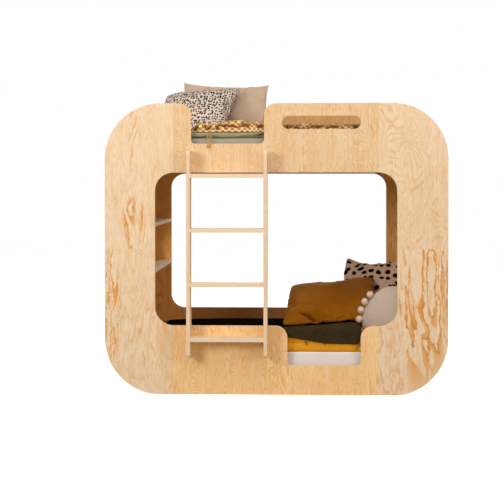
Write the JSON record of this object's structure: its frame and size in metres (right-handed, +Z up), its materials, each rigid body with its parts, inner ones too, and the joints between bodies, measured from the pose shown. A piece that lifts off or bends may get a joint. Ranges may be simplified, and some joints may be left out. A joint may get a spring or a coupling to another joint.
{
  "type": "bunk bed",
  "caption": "Plywood bunk bed with rounded panel frames, windows front and back, a fixed ladder, shelves at one end, slatted bases, mattresses and bedding.",
  "frame": {"origin": "middle of the bed's footprint, ladder included, on the floor", "axes": "+X to the right seen from the ladder side, along the bed; -Y towards the ladder; +Z up"},
  "size_m": [1.92, 0.975, 1.8182],
  "materials": {
    "plywood": "matt clear lacquer",
    "pine": "planed",
    "beech": "raw",
    "steel": "zinc plated",
    "webbing": "woven band",
    "mattress": "cotton cover",
    "mustard_cloth": "washed cotton",
    "green_knit": "coarse knit",
    "sage_cloth": "washed cotton",
    "checked_cloth": "brushed cotton, small checks",
    "ochre_yarn": "twisted yarn",
    "dotted_cloth": "cotton, small dark dashes",
    "beige_cloth": "linen",
    "mustard_velvet": "velvet",
    "spotted_cloth": "cotton, large dark spots",
    "pale_cloth": "washed cotton",
    "pale_yarn": "wool pompoms"
  },
  "bodies": {
    "root": {"back_bottom_rail": "plywood", "back_corner_lower_left": "plywood", "back_corner_lower_right": "plywood", "back_corner_upper_left": "plywood", "back_corner_upper_right": "plywood", "back_tongues": "beech", "back_top_rail": "plywood", "batten_screws": "steel", "cushion_pompoms": "pale_yarn", "end_cam_pins": "steel", "end_cams": "steel", "front_bottom_rail": "plywood", "front_corner_lower_left": "plywood", "front_corner_lower_right": "plywood", "front_corner_upper_left": "plywood", "front_corner_upper_right": "plywood", "front_tongues": "beech", "front_top_rail": "plywood", "ladder_bolts": "steel", "ladder_rail_left": "plywood", "ladder_rail_right": "plywood", "left_end_panel": "plywood", "lower_back_batten": "pine", "lower_blanket": "green_knit", "lower_front_batten": "pine", "lower_left_end_batten": "pine", "lower_mattress": "mattress", "lower_quilt": "mustard_cloth", "lower_right_end_batten": "pine", "lower_round_cushion": "pale_cloth", "lower_shelf": "plywood", "lower_slat_tapes": "webbing", "lower_slats": "pine", "lower_spotted_cushion": "spotted_cloth", "lower_velvet_cushion": "mustard_velvet", "right_end_panel": "plywood", "throw_tassels": "ochre_yarn", "tread_1": "plywood", "tread_2": "plywood", "tread_3": "plywood", "tread_4": "plywood", "upper_back_batten": "pine", "upper_dotted_pillow": "dotted_cloth", "upper_front_batten": "pine", "upper_left_end_batten": "pine", "upper_mattress": "mattress", "upper_plain_pillow": "beige_cloth", "upper_quilt": "sage_cloth", "upper_right_end_batten": "pine", "upper_shelf": "plywood", "upper_slat_tapes": "webbing", "upper_slats": "pine", "upper_throw": "checked_cloth"}
  },
  "joints": []
}
